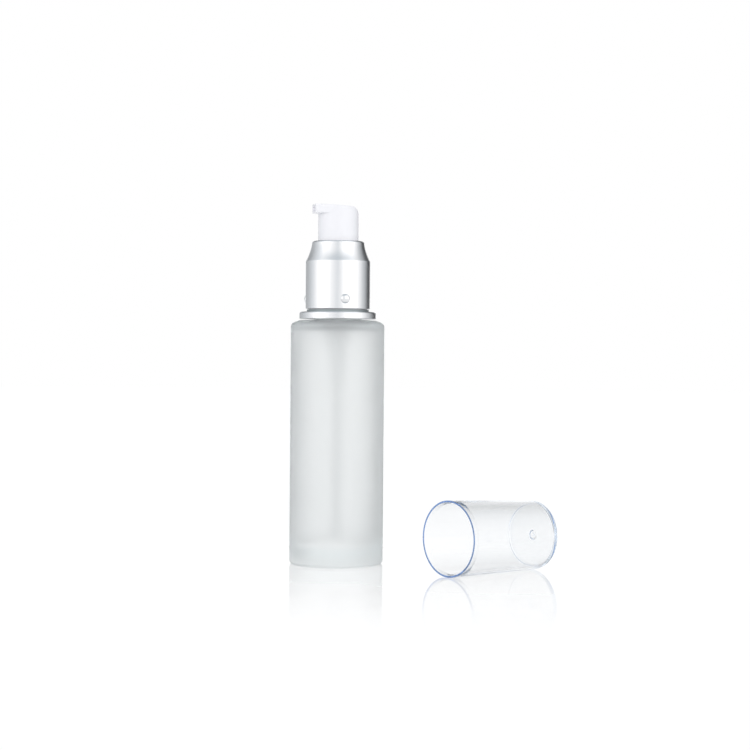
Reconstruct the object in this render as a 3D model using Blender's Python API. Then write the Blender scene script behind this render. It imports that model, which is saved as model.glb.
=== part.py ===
"""Frosted glass lotion bottle with a treatment pump, a metal collar and a clear overcap lying beside it.

Metres, +Z up. The origin is the centre of the bottle's base. The overcap lies on its side along +X,
mouth first, as it does when it has been taken off.
"""

import math

import bmesh
import bpy
from mathutils import Matrix, Vector

# Fits: the gap that stands for contact between two pieces, and how far a cutter runs past its face.
GAP = 0.0003
OVERRUN = 0.0010

# Facets round the wide, the middling and the narrow turned pieces.
WIDE_FACETS = 44
MIDDLE_FACETS = 28
NARROW_FACETS = 18
SMOOTH_ANGLE = math.radians(35)

# Glass bottle.
GLASS_RADIUS = 0.0175
GLASS_WALL = 0.0028
BASE_THICKNESS = 0.0065
HEEL_RADIUS = 0.0013
INNER_HEEL_RADIUS = 0.0045
SHOULDER_HEIGHT = 0.0913
SHOULDER_FALL = 0.0004
SHOULDER_THICKNESS = 0.0030
CORNER_WIDTH = 0.0019
CORNER_HEIGHT = 0.0024
INNER_CORNER_RADIUS = 0.0035
NECK_RADIUS = 0.0086
NECK_LENGTH = 0.0141
NECK_FILLET = 0.0006
NECK_BORE_RADIUS = 0.0064
LIP_RADIUS = 0.0004

# Screw thread, cut alike for the neck and for the closure that turns on it.
THREAD_PITCH = 0.003175
THREAD_TURNS = 1.5
THREAD_DEPTH = 0.0012
THREAD_ROOT_WIDTH = 0.0016
THREAD_CREST_WIDTH = 0.0008
THREAD_BURY = 0.0004
THREAD_BELOW_MOUTH = 0.0016
THREAD_FADE_TURNS = 0.12

# Neck gasket.
GASKET_THICKNESS = 0.0007
GASKET_RADIUS = 0.0085
GASKET_HOLE_RADIUS = 0.0067

# Pump housing, hung in the neck by its flange.
HOUSING_FLANGE_RADIUS = 0.0086
HOUSING_FLANGE_THICKNESS = 0.0007
HOUSING_SOCKET_RADIUS = 0.0046
HOUSING_SOCKET_DEPTH = 0.0054
HOUSING_SOCKET_WALL = 0.0010
CHAMBER_RADIUS = 0.00375
CHAMBER_LENGTH = 0.0190
CHAMBER_WALL = 0.0008
BALL_BORE_RADIUS = 0.0024
BALL_BORE_LENGTH = 0.0032
INLET_RADIUS = 0.0011
INLET_LENGTH = 0.0015
TUBE_SOCKET_DEPTH = 0.0075
TAIL_WALL = 0.0008
VENT_RADIUS = 0.0005
VENT_BELOW_SOCKET = 0.0024

# Dip tube.
TUBE_RADIUS = 0.0016
TUBE_WALL = 0.0006
TUBE_FOOT_CLEARANCE = 0.0022
TUBE_FOOT_ANGLE = math.radians(35)

# Inlet valve: a ball under the plate that also seats the return spring.
BALL_RADIUS = 0.00175
SPRING_SEAT_THICKNESS = 0.0007
SPRING_SEAT_HOLE_RADIUS = 0.0008
SPRING_SEAT_PORT_RADIUS = 0.00045
SPRING_SEAT_PORT_CIRCLE = 0.0017
SPRING_SEAT_PORTS = 4

# Return spring.
SPRING_WIRE_RADIUS = 0.000275
SPRING_MEAN_RADIUS = 0.0027
SPRING_TURNS = 6.5
SPRING_POINTS_PER_TURN = 10
SPRING_CLOSED_TURNS = 0.9
SPRING_CLOSED_GAP = 0.00045

# Lock ring, snapped into the top of the housing.
LOCK_FLANGE_THICKNESS = 0.0006
TURRET_RADIUS = 0.0048
TURRET_HEIGHT = 0.0042
TURRET_CHAMFER = 0.0005

# Plunger: hollow stem, the shaft pressed into it and the piston that the two carry.
STROKE = 0.0055
STEM_RADIUS = 0.0019
STEM_BORE_RADIUS = 0.0010
STEM_LENGTH = 0.0246
STEM_STOP_RADIUS = 0.0029
STEM_STOP_THICKNESS = 0.0006
PISTON_LENGTH = 0.0040
PISTON_LIP_LENGTH = 0.0010
PISTON_WAIST_RADIUS = 0.0026
PISTON_BORE_RADIUS = 0.0012
OUTLET_TRAVEL = 0.0008
SHAFT_ENGAGEMENT = 0.0040
SHAFT_DISC_RADIUS = 0.0031
SHAFT_DISC_THICKNESS = 0.0008

# Screw closure.
CLOSURE_FLANGE_THICKNESS = 0.0015
CLOSURE_LIFT = 0.0007
CLOSURE_WEB_THICKNESS = 0.0010
SLEEVE_WALL = 0.0008
WEB_HOLE_CLEARANCE = 0.0006

# Base ring, pressed over the closure's flange.
RING_RADIUS = 0.0144
RING_WALL = 0.0004
RING_CORNER_RADIUS = 0.0007
SPIGOT_RADIUS = 0.0116
SPIGOT_HEIGHT = 0.0008

# Collar shell.
SHELL_RADIUS = 0.0121
SHELL_WALL = 0.0006
CREASE_HEIGHT = 0.0178
FLARE_HEIGHT = 0.0067
FLARE_DROP = 0.00225
FLARE_POWER = 1.5
FLARE_STEPS = 5
RIM_RADIUS = 0.0008
NUB_COUNT = 3
NUB_RADIUS = 0.00175
NUB_PROUD = 0.00065
NUB_HEIGHT = 0.0043
NUB_AZIMUTH = math.radians(244.4)

# Actuator head.
HEAD_RADIUS = 0.0076
HEAD_CLEARANCE = 0.0004
HEAD_WALL = 0.0009
HEAD_INSERTION = 0.0046
NOZZLE_AZIMUTH = math.radians(161.0)
NOZZLE_REACH = 0.00985
NOZZLE_HALF_WIDTH = 0.00235
NOZZLE_RISE = 0.0102
NOZZLE_HEIGHT = 0.0035
TOP_FALL = 0.0009
TOP_THICKNESS = 0.0014
BACK_CHAMFER_RUN = 0.0016
BACK_CHAMFER_DROP = 0.0021
BOSS_RADIUS = 0.0032
BOSS_CLEARANCE = 0.0005
OUTLET_RADIUS = 0.0009
ORIFICE_WIDTH = 0.0017
ORIFICE_HEIGHT = 0.0024
ORIFICE_DEPTH = 0.0014
ORIFICE_CORNER_RADIUS = 0.0005

# Overcap.
CAP_MOUTH_RADIUS = 0.0136
CAP_END_RADIUS = 0.01254
CAP_LENGTH = 0.0426
CAP_WALL = 0.0009
CAP_RIM_WALL = 0.00065
CAP_RIM_DEPTH = 0.0038
CAP_END_WALL = 0.0013
CAP_EDGE_RADIUS = 0.0008
CAP_DIMPLE_RADIUS = 0.00165
CAP_DIMPLE_DEPTH = 0.0004
CAP_MOUTH_X = 0.0052
CAP_AXIS_Y = -0.0566

# Heights that follow from the stack of pieces on the neck.
MOUTH_Z = SHOULDER_HEIGHT + NECK_LENGTH
GASKET_Z = MOUTH_Z + GAP
HOUSING_Z = GASKET_Z + GASKET_THICKNESS + GAP
HOUSING_TOP_Z = HOUSING_Z + HOUSING_FLANGE_THICKNESS
LOCK_RING_Z = HOUSING_TOP_Z + GAP
WEB_Z = LOCK_RING_Z + LOCK_FLANGE_THICKNESS + GAP
SOCKET_FLOOR_Z = HOUSING_TOP_Z - HOUSING_SOCKET_DEPTH
CHAMBER_FLOOR_Z = SOCKET_FLOOR_Z - CHAMBER_LENGTH
SEAT_TOP_Z = CHAMBER_FLOOR_Z - BALL_BORE_LENGTH
SEAT_BOTTOM_Z = SEAT_TOP_Z - (BALL_BORE_RADIUS - INLET_RADIUS)
TUBE_TOP_Z = SEAT_BOTTOM_Z - INLET_LENGTH - GAP
SPRING_SEAT_Z = CHAMBER_FLOOR_Z + GAP
STEM_Z = SOCKET_FLOOR_Z - STEM_STOP_THICKNESS
PISTON_Z = STEM_Z - OUTLET_TRAVEL - GAP - PISTON_LENGTH
SHAFT_Z = PISTON_Z - GAP - SHAFT_DISC_THICKNESS

# Heights and radii of the closure, the ring and the shell round it.
RING_Z = SHOULDER_HEIGHT + GAP
CLOSURE_Z = SHOULDER_HEIGHT + CLOSURE_LIFT
RING_TOP_Z = CLOSURE_Z + CLOSURE_FLANGE_THICKNESS + GAP + RING_WALL
SHELL_Z = RING_TOP_Z + SPIGOT_HEIGHT + GAP
SHELL_TOP_Z = SHELL_Z + CREASE_HEIGHT + FLARE_HEIGHT + RIM_RADIUS
CLOSURE_RADIUS = SPIGOT_RADIUS - RING_WALL - GAP
CLOSURE_BORE_RADIUS = NECK_RADIUS + THREAD_DEPTH + GAP
SHELL_HOLE_RADIUS = HEAD_RADIUS + HEAD_CLEARANCE
HEAD_Z = SHELL_TOP_Z - HEAD_INSERTION
TURRET_BORE_RADIUS = STEM_RADIUS + GAP


def clear_scene():
    for obj in list(bpy.data.objects):
        bpy.data.objects.remove(obj, do_unlink=True)


def material(name, colour, roughness, metallic=0.0, transmission=0.0, ior=1.5):
    made = bpy.data.materials.new(name)
    made.use_nodes = True
    made.diffuse_color = (*colour, 1.0)
    shader = made.node_tree.nodes["Principled BSDF"]
    shader.inputs["Base Color"].default_value = (*colour, 1.0)
    shader.inputs["Roughness"].default_value = roughness
    shader.inputs["Metallic"].default_value = metallic
    shader.inputs["Transmission Weight"].default_value = transmission
    shader.inputs["IOR"].default_value = ior
    return made


def arc(centre, radius_r, radius_z, start_degrees, end_degrees, steps):
    """Points of an elliptical arc in the (radius, height) plane, both ends included."""
    points = []
    for step in range(steps + 1):
        angle = math.radians(start_degrees + (end_degrees - start_degrees) * step / steps)
        points.append((centre[0] + radius_r * math.cos(angle), centre[1] + radius_z * math.sin(angle)))
    return points


def finish(bm, name, surface, location=(0, 0, 0)):
    """Makes a named object of a closed mesh, shaded smooth between its sharp edges."""
    bmesh.ops.remove_doubles(bm, verts=bm.verts, dist=GAP / 1000)
    bmesh.ops.recalc_face_normals(bm, faces=bm.faces)
    mesh = bpy.data.meshes.new(name)
    bm.to_mesh(mesh)
    bm.free()
    mesh.shade_smooth()
    mesh.set_sharp_from_angle(angle=SMOOTH_ANGLE)
    obj = bpy.data.objects.new(name, mesh)
    obj.location = location
    bpy.context.scene.collection.objects.link(obj)
    if surface is not None:
        mesh.materials.append(surface)
    return obj


def turned(name, profile, facets, surface, location=(0, 0, 0)):
    """A solid of revolution round Z, spun from a closed (radius, height) outline."""
    bm = bmesh.new()
    points = [bm.verts.new((radius, 0, height)) for radius, height in profile]
    sides = [bm.edges.new((a, b)) for a, b in zip(points, points[1:] + points[:1])]
    bmesh.ops.spin(
        bm,
        geom=points + sides,
        cent=(0, 0, 0),
        axis=(0, 0, 1),
        angle=2 * math.pi,
        steps=facets,
        use_merge=True,
    )
    bmesh.ops.remove_doubles(bm, verts=bm.verts, dist=GAP / 1000)
    bmesh.ops.delete(bm, geom=[e for e in bm.edges if not e.link_faces], context="EDGES")
    return finish(bm, name, surface, location)


def skinned(bm, rings):
    """Faces between neighbouring rings of points, and a flat cap on the first and the last."""
    loops = [[bm.verts.new(point) for point in ring] for ring in rings]
    for low, high in zip(loops, loops[1:]):
        for i in range(len(low)):
            j = (i + 1) % len(low)
            bm.faces.new((low[i], low[j], high[j], high[i]))
    bm.faces.new(loops[0])
    bm.faces.new(loops[-1])


def helical_ridge(name, wall_radius, outward, start_z):
    """A thread of trapezoid section that grows out of a wall; outward is 1, or -1 inside a bore."""
    steps = round(THREAD_TURNS * WIDE_FACETS)
    rings = []
    for step in range(steps + 1):
        turns = THREAD_TURNS * step / steps
        grown = min(1, turns / THREAD_FADE_TURNS, (THREAD_TURNS - turns) / THREAD_FADE_TURNS)
        crest = wall_radius + outward * ((THREAD_DEPTH + THREAD_BURY / 2) * grown - THREAD_BURY / 2)
        root = wall_radius - outward * THREAD_BURY
        middle = start_z + THREAD_PITCH * turns
        angle = 2 * math.pi * turns
        section = (
            (root, middle - THREAD_ROOT_WIDTH / 2),
            (crest, middle - THREAD_CREST_WIDTH / 2),
            (crest, middle + THREAD_CREST_WIDTH / 2),
            (root, middle + THREAD_ROOT_WIDTH / 2),
        )
        rings.append([(r * math.cos(angle), r * math.sin(angle), z) for r, z in section])
    bm = bmesh.new()
    skinned(bm, rings)
    return finish(bm, name, None)


def cylinder(name, radius, length, facets, matrix):
    """A plain rod along the matrix's Z, centred on it."""
    bm = bmesh.new()
    bmesh.ops.create_cone(
        bm, cap_ends=True, segments=facets, radius1=radius, radius2=radius, depth=length, matrix=matrix
    )
    return finish(bm, name, None)


def combine(obj, operation, other):
    """Joins or cuts a helper shape, which stays out of the model itself."""
    modifier = obj.modifiers.new(other.name, "BOOLEAN")
    modifier.operation = operation
    modifier.solver = "EXACT"
    modifier.object = other
    other.hide_render = True
    other.display_type = "WIRE"
    other.parent = obj
    other.matrix_parent_inverse = obj.matrix_basis.inverted()


def group(name, location):
    empty = bpy.data.objects.new(name, None)
    empty.location = location
    empty.empty_display_size = GLASS_RADIUS
    bpy.context.scene.collection.objects.link(empty)
    return empty


def carry(parent, *children):
    """Parents pieces to the empty that they move with, without shifting them."""
    for child in children:
        child.parent = parent
        child.matrix_parent_inverse = parent.matrix_basis.inverted()


def glass_bottle(surface):
    wall_top = SHOULDER_HEIGHT - SHOULDER_FALL - CORNER_HEIGHT
    corner = (GLASS_RADIUS - CORNER_WIDTH, wall_top)
    inner_radius = GLASS_RADIUS - GLASS_WALL
    ceiling = SHOULDER_HEIGHT - SHOULDER_THICKNESS
    inner_corner = (inner_radius - INNER_CORNER_RADIUS, ceiling - INNER_CORNER_RADIUS)
    inner_heel = (inner_radius - INNER_HEEL_RADIUS, BASE_THICKNESS + INNER_HEEL_RADIUS)
    lip = (NECK_RADIUS - LIP_RADIUS, MOUTH_Z - LIP_RADIUS)
    neck_foot = (NECK_RADIUS + NECK_FILLET, SHOULDER_HEIGHT + NECK_FILLET)
    profile = [(0, 0)]
    profile += arc((GLASS_RADIUS - HEEL_RADIUS, HEEL_RADIUS), HEEL_RADIUS, HEEL_RADIUS, -90, 0, 3)
    profile += arc(corner, CORNER_WIDTH, CORNER_HEIGHT, 0, 90, 4)
    profile += arc(neck_foot, NECK_FILLET, NECK_FILLET, 270, 180, 2)
    profile += arc(lip, LIP_RADIUS, LIP_RADIUS, 0, 90, 2)
    profile += [(NECK_BORE_RADIUS + LIP_RADIUS, MOUTH_Z), (NECK_BORE_RADIUS, MOUTH_Z - LIP_RADIUS)]
    profile += [(NECK_BORE_RADIUS, ceiling + NECK_FILLET), (NECK_BORE_RADIUS + NECK_FILLET, ceiling)]
    profile += arc(inner_corner, INNER_CORNER_RADIUS, INNER_CORNER_RADIUS, 90, 0, 3)
    profile += arc(inner_heel, INNER_HEEL_RADIUS, INNER_HEEL_RADIUS, 0, -90, 3)
    profile += [(0, BASE_THICKNESS)]
    bottle = turned("glass_bottle", profile, WIDE_FACETS, surface)
    thread_z = MOUTH_Z - THREAD_BELOW_MOUTH - THREAD_PITCH * THREAD_TURNS
    combine(bottle, "UNION", helical_ridge("neck_thread", NECK_RADIUS, 1, thread_z))
    return bottle


def base_ring(surface):
    inner = RING_RADIUS - RING_WALL
    under = RING_TOP_Z - RING_WALL - RING_Z
    top = RING_TOP_Z - RING_Z
    inner_corner = RING_CORNER_RADIUS - RING_WALL
    corner = (RING_RADIUS - RING_CORNER_RADIUS, top - RING_CORNER_RADIUS)
    profile = [(inner, 0), (RING_RADIUS, 0)]
    profile += arc(corner, RING_CORNER_RADIUS, RING_CORNER_RADIUS, 0, 90, 4)
    profile += [(SPIGOT_RADIUS, top), (SPIGOT_RADIUS, top + SPIGOT_HEIGHT)]
    profile += [(SPIGOT_RADIUS - RING_WALL, top + SPIGOT_HEIGHT), (SPIGOT_RADIUS - RING_WALL, under)]
    profile += arc(corner, inner_corner, inner_corner, 90, 0, 2)
    return turned("base_ring", profile, WIDE_FACETS, surface, (0, 0, RING_Z))


def flare():
    """The shell's concave flare as (radius, height over the crease), from the crease up."""
    points = []
    for step in range(FLARE_STEPS + 1):
        share = step / FLARE_STEPS
        radius = SHELL_RADIUS - FLARE_DROP * (1 - (1 - share) ** FLARE_POWER)
        points.append((radius, CREASE_HEIGHT + FLARE_HEIGHT * share))
    return points


def collar_shell(surface):
    top = SHELL_TOP_Z - SHELL_Z
    shoulder = (SHELL_RADIUS - FLARE_DROP - RIM_RADIUS, top - RIM_RADIUS)
    profile = [(SHELL_RADIUS - SHELL_WALL, 0), (SHELL_RADIUS, 0)]
    profile += flare()
    profile += arc(shoulder, RIM_RADIUS, RIM_RADIUS, 0, 90, 4)[1:]
    profile += [(SHELL_HOLE_RADIUS, top), (SHELL_HOLE_RADIUS, top - SHELL_WALL)]
    profile += [(shoulder[0], top - SHELL_WALL)]
    profile += [(radius - SHELL_WALL, height) for radius, height in reversed(flare())]
    shell = turned("collar_shell", profile, WIDE_FACETS, surface, (0, 0, SHELL_Z))
    for number in range(NUB_COUNT):
        bm = bmesh.new()
        bmesh.ops.create_uvsphere(bm, u_segments=12, v_segments=8, radius=NUB_RADIUS)
        bmesh.ops.scale(bm, vec=(NUB_PROUD / NUB_RADIUS, 1, 1), verts=bm.verts)
        bmesh.ops.translate(bm, vec=(SHELL_RADIUS, 0, NUB_HEIGHT), verts=bm.verts)
        azimuth = NUB_AZIMUTH + 2 * math.pi * number / NUB_COUNT
        bmesh.ops.rotate(bm, cent=(0, 0, 0), matrix=Matrix.Rotation(azimuth, 3, "Z"), verts=bm.verts)
        nub = finish(bm, f"nub_{number + 1}", None, (0, 0, SHELL_Z))
        combine(shell, "UNION", nub)
    return shell


def screw_closure(surface):
    flange_radius = RING_RADIUS - RING_WALL - GAP
    web_under = WEB_Z - CLOSURE_Z
    web_top = web_under + CLOSURE_WEB_THICKNESS
    sleeve_radius = SHELL_RADIUS - FLARE_DROP - SHELL_WALL - GAP
    sleeve_top = SHELL_TOP_Z - SHELL_WALL - GAP - CLOSURE_Z
    hole_radius = TURRET_RADIUS + WEB_HOLE_CLEARANCE
    profile = [(CLOSURE_BORE_RADIUS, 0), (flange_radius, 0)]
    profile += [(flange_radius, CLOSURE_FLANGE_THICKNESS), (CLOSURE_RADIUS, CLOSURE_FLANGE_THICKNESS)]
    profile += [(CLOSURE_RADIUS, web_top), (sleeve_radius, web_top), (sleeve_radius, sleeve_top)]
    profile += [(sleeve_radius - SLEEVE_WALL, sleeve_top), (sleeve_radius - SLEEVE_WALL, web_top)]
    profile += [(hole_radius, web_top), (hole_radius, web_under), (CLOSURE_BORE_RADIUS, web_under)]
    closure = turned("screw_closure", profile, WIDE_FACETS, surface, (0, 0, CLOSURE_Z))
    thread_z = MOUTH_Z - THREAD_BELOW_MOUTH - THREAD_PITCH * (THREAD_TURNS + 1 / 2)
    combine(closure, "UNION", helical_ridge("closure_thread", CLOSURE_BORE_RADIUS, -1, thread_z))
    return closure


def neck_gasket(surface):
    profile = [(GASKET_HOLE_RADIUS, 0), (GASKET_RADIUS, 0)]
    profile += [(GASKET_RADIUS, GASKET_THICKNESS), (GASKET_HOLE_RADIUS, GASKET_THICKNESS)]
    return turned("neck_gasket", profile, MIDDLE_FACETS, surface, (0, 0, GASKET_Z))


def pump_housing(surface):
    """Heights here run down from the flange's upper face."""
    socket_outer = HOUSING_SOCKET_RADIUS + HOUSING_SOCKET_WALL
    chamber_outer = CHAMBER_RADIUS + CHAMBER_WALL
    tube_bore = TUBE_RADIUS + GAP
    tail_outer = tube_bore + TAIL_WALL
    socket_floor = SOCKET_FLOOR_Z - HOUSING_TOP_Z
    socket_end = socket_floor - HOUSING_SOCKET_WALL
    chamber_floor = CHAMBER_FLOOR_Z - HOUSING_TOP_Z
    chamber_end = chamber_floor - CHAMBER_WALL
    seat_top = SEAT_TOP_Z - HOUSING_TOP_Z
    seat_bottom = SEAT_BOTTOM_Z - HOUSING_TOP_Z
    inlet_bottom = seat_bottom - INLET_LENGTH
    tail_end = inlet_bottom - TUBE_SOCKET_DEPTH
    profile = [(HOUSING_FLANGE_RADIUS, 0), (HOUSING_SOCKET_RADIUS, 0)]
    profile += [(HOUSING_SOCKET_RADIUS, socket_floor), (CHAMBER_RADIUS, socket_floor)]
    profile += [(CHAMBER_RADIUS, chamber_floor), (BALL_BORE_RADIUS, chamber_floor)]
    profile += [(BALL_BORE_RADIUS, seat_top), (INLET_RADIUS, seat_bottom), (INLET_RADIUS, inlet_bottom)]
    profile += [(tube_bore, inlet_bottom), (tube_bore, tail_end), (tail_outer, tail_end)]
    profile += [(tail_outer, inlet_bottom), (BALL_BORE_RADIUS + TAIL_WALL, seat_top)]
    profile += [(BALL_BORE_RADIUS + TAIL_WALL, chamber_end), (chamber_outer, chamber_end)]
    profile += [(chamber_outer, socket_end), (socket_outer, socket_end)]
    profile += [(socket_outer, -HOUSING_FLANGE_THICKNESS)]
    profile += [(HOUSING_FLANGE_RADIUS, -HOUSING_FLANGE_THICKNESS)]
    housing = turned("pump_housing", profile, MIDDLE_FACETS, surface, (0, 0, HOUSING_TOP_Z))
    vent_reach = (chamber_outer - CHAMBER_RADIUS) + 2 * OVERRUN
    vent_z = SOCKET_FLOOR_Z - VENT_BELOW_SOCKET
    vent_place = Matrix.Translation((CHAMBER_RADIUS + CHAMBER_WALL / 2, 0, vent_z))
    vent_turn = Matrix.Rotation(math.pi / 2, 4, "Y")
    vent = cylinder("vent_hole", VENT_RADIUS, vent_reach, NARROW_FACETS // 2, vent_place @ vent_turn)
    combine(housing, "DIFFERENCE", vent)
    return housing


def dip_tube(surface):
    """A drawn tube whose foot is cut at a slant, so that it can't seal itself on the glass."""
    foot = BASE_THICKNESS + TUBE_FOOT_CLEARANCE
    length = TUBE_TOP_Z - foot
    bore = TUBE_RADIUS - TUBE_WALL
    profile = [(bore, 0), (TUBE_RADIUS, 0), (TUBE_RADIUS, length), (bore, length)]
    tube = turned("dip_tube", profile, NARROW_FACETS, surface, (0, 0, foot))
    reach = 2 * TUBE_RADIUS + OVERRUN
    bm = bmesh.new()
    bmesh.ops.create_cube(bm, size=2 * reach)
    bmesh.ops.translate(bm, vec=(0, 0, -reach), verts=bm.verts)
    slant = Matrix.Rotation(TUBE_FOOT_ANGLE, 3, "Y")
    bmesh.ops.rotate(bm, cent=(0, 0, 0), matrix=slant, verts=bm.verts)
    bmesh.ops.translate(bm, vec=(0, 0, foot + TUBE_RADIUS * math.tan(TUBE_FOOT_ANGLE)), verts=bm.verts)
    combine(tube, "DIFFERENCE", finish(bm, "foot_slant", None))
    return tube


def inlet_ball(surface):
    """The ball rests on the 45 degree seat, a gap off it along the seat's normal."""
    seat_apex = SEAT_BOTTOM_Z - INLET_RADIUS
    centre = seat_apex + (BALL_RADIUS + GAP) * math.sqrt(2)
    bm = bmesh.new()
    bmesh.ops.create_uvsphere(bm, u_segments=NARROW_FACETS, v_segments=NARROW_FACETS // 2, radius=BALL_RADIUS)
    return finish(bm, "inlet_ball", surface, (0, 0, centre))


def spring_seat(surface):
    outer = CHAMBER_RADIUS - GAP
    profile = [(SPRING_SEAT_HOLE_RADIUS, 0), (outer, 0)]
    profile += [(outer, SPRING_SEAT_THICKNESS), (SPRING_SEAT_HOLE_RADIUS, SPRING_SEAT_THICKNESS)]
    seat = turned("spring_seat", profile, MIDDLE_FACETS, surface, (0, 0, SPRING_SEAT_Z))
    for number in range(SPRING_SEAT_PORTS):
        turn = Matrix.Rotation(2 * math.pi * (number + 1 / 2) / SPRING_SEAT_PORTS, 4, "Z")
        centre = (SPRING_SEAT_PORT_CIRCLE, 0, SPRING_SEAT_Z + SPRING_SEAT_THICKNESS / 2)
        place = turn @ Matrix.Translation(centre)
        length = SPRING_SEAT_THICKNESS + 2 * OVERRUN
        port = cylinder(f"port_{number + 1}", SPRING_SEAT_PORT_RADIUS, length, NARROW_FACETS // 2, place)
        combine(seat, "DIFFERENCE", port)
    return seat


def spring_points(height):
    """The wire's centre line: closed coils at both ends and open coils between them."""
    closed_rise = (2 * SPRING_WIRE_RADIUS + SPRING_CLOSED_GAP) * SPRING_CLOSED_TURNS
    open_turns = SPRING_TURNS - 2 * SPRING_CLOSED_TURNS
    open_rise = height - 2 * SPRING_WIRE_RADIUS - 2 * closed_rise
    count = round(SPRING_TURNS * SPRING_POINTS_PER_TURN)
    points = []
    for step in range(count + 1):
        turns = SPRING_TURNS * step / count
        low = min(turns, SPRING_CLOSED_TURNS) / SPRING_CLOSED_TURNS
        middle = min(max(turns - SPRING_CLOSED_TURNS, 0), open_turns) / open_turns
        high = max(turns - SPRING_CLOSED_TURNS - open_turns, 0) / SPRING_CLOSED_TURNS
        rise = closed_rise * (low + high) + open_rise * middle
        angle = 2 * math.pi * turns
        x = SPRING_MEAN_RADIUS * math.cos(angle)
        y = SPRING_MEAN_RADIUS * math.sin(angle)
        points.append(Vector((x, y, SPRING_WIRE_RADIUS + rise)))
    return points


def least_self_gap(points, radius):
    """The smallest clear distance between two stretches of a tube half a turn or more apart."""
    apart = SPRING_POINTS_PER_TURN // 2
    least = math.inf
    for i, first in enumerate(points):
        for second in points[i + apart :]:
            least = min(least, (first - second).length - 2 * radius)
    return least


def return_spring(surface):
    low = SPRING_SEAT_Z + SPRING_SEAT_THICKNESS + GAP
    high = SHAFT_Z - GAP
    points = spring_points(high - low)
    print(f"return_spring least gap to itself {1000 * least_self_gap(points, SPRING_WIRE_RADIUS):.2f} mm")
    curve = bpy.data.curves.new("return_spring", "CURVE")
    curve.dimensions = "3D"
    curve.bevel_depth = SPRING_WIRE_RADIUS
    curve.bevel_resolution = 1
    curve.use_fill_caps = True
    spline = curve.splines.new("POLY")
    spline.points.add(len(points) - 1)
    for target, point in zip(spline.points, points):
        target.co = (*point, 1.0)
    curve.materials.append(surface)
    spring = bpy.data.objects.new("return_spring", curve)
    spring.location = (0, 0, low)
    bpy.context.scene.collection.objects.link(spring)
    return spring


def lock_ring(surface):
    """Heights here run from the underside of its flange; the plug hangs below it in the socket."""
    plug_radius = HOUSING_SOCKET_RADIUS - GAP
    plug_end = SOCKET_FLOOR_Z + GAP - LOCK_RING_Z
    flange_top = LOCK_FLANGE_THICKNESS
    turret_top = flange_top + TURRET_HEIGHT
    profile = [(TURRET_BORE_RADIUS, plug_end), (plug_radius, plug_end), (plug_radius, 0)]
    profile += [(HOUSING_FLANGE_RADIUS, 0), (HOUSING_FLANGE_RADIUS, flange_top)]
    profile += [(TURRET_RADIUS, flange_top), (TURRET_RADIUS, turret_top - TURRET_CHAMFER)]
    profile += [(TURRET_RADIUS - TURRET_CHAMFER, turret_top), (TURRET_BORE_RADIUS, turret_top)]
    return turned("lock_ring", profile, MIDDLE_FACETS, surface, (0, 0, LOCK_RING_Z))


def stem(surface):
    profile = [(STEM_BORE_RADIUS, 0), (STEM_STOP_RADIUS, 0), (STEM_STOP_RADIUS, STEM_STOP_THICKNESS)]
    profile += [(STEM_RADIUS, STEM_STOP_THICKNESS), (STEM_RADIUS, STEM_LENGTH)]
    profile += [(STEM_BORE_RADIUS, STEM_LENGTH)]
    return turned("stem", profile, NARROW_FACETS, surface, (0, 0, STEM_Z))


def piston(surface):
    """A cup seal with a lip at each end and a slim waist between them."""
    lip_radius = CHAMBER_RADIUS - GAP
    high = PISTON_LENGTH
    profile = [(PISTON_BORE_RADIUS, 0), (lip_radius, 0), (lip_radius, PISTON_LIP_LENGTH)]
    profile += [(PISTON_WAIST_RADIUS, 2 * PISTON_LIP_LENGTH / 3 + PISTON_LIP_LENGTH)]
    profile += [(PISTON_WAIST_RADIUS, high - 2 * PISTON_LIP_LENGTH / 3 - PISTON_LIP_LENGTH)]
    profile += [(lip_radius, high - PISTON_LIP_LENGTH), (lip_radius, high), (PISTON_BORE_RADIUS, high)]
    return turned("piston", profile, MIDDLE_FACETS, surface, (0, 0, PISTON_Z))


def piston_shaft(surface):
    """A disc that shuts the piston's bore from below, on a rod pressed up into the stem."""
    rod_radius = STEM_BORE_RADIUS - GAP
    rod_top = STEM_Z + SHAFT_ENGAGEMENT - SHAFT_Z
    profile = [(0, 0), (SHAFT_DISC_RADIUS, 0), (SHAFT_DISC_RADIUS, SHAFT_DISC_THICKNESS)]
    profile += [(rod_radius, SHAFT_DISC_THICKNESS), (rod_radius, rod_top), (0, rod_top)]
    return turned("piston_shaft", profile, NARROW_FACETS, surface, (0, 0, SHAFT_Z))


def head_angles():
    """Directions from the nozzle's own, round the head, with the nozzle's corners among them."""
    tip = math.atan2(NOZZLE_HALF_WIDTH, NOZZLE_REACH)
    tangent = tip + math.acos(HEAD_RADIUS / math.hypot(NOZZLE_REACH, NOZZLE_HALF_WIDTH))
    back_steps = 2 * round((math.pi - tangent) * WIDE_FACETS / (2 * math.pi))
    side_steps = round((tangent - tip) * WIDE_FACETS / (2 * math.pi))
    angles = [-tip, 0, tip]
    angles += [tip + (tangent - tip) * step / side_steps for step in range(1, side_steps)]
    angles += [tangent + 2 * (math.pi - tangent) * step / back_steps for step in range(back_steps + 1)]
    angles += [-tip - (tangent - tip) * step / side_steps for step in range(side_steps - 1, 0, -1)]
    return tip, tangent, angles


def plan_radius(angle, tip, tangent):
    """The head's plan: a circle whose tangents close in on the flat tip of the nozzle."""
    off = abs(math.remainder(angle, 2 * math.pi))
    if off >= tangent:
        return HEAD_RADIUS
    if off > tip:
        return HEAD_RADIUS / math.cos(tangent - off)
    return NOZZLE_REACH / math.cos(off)


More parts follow.
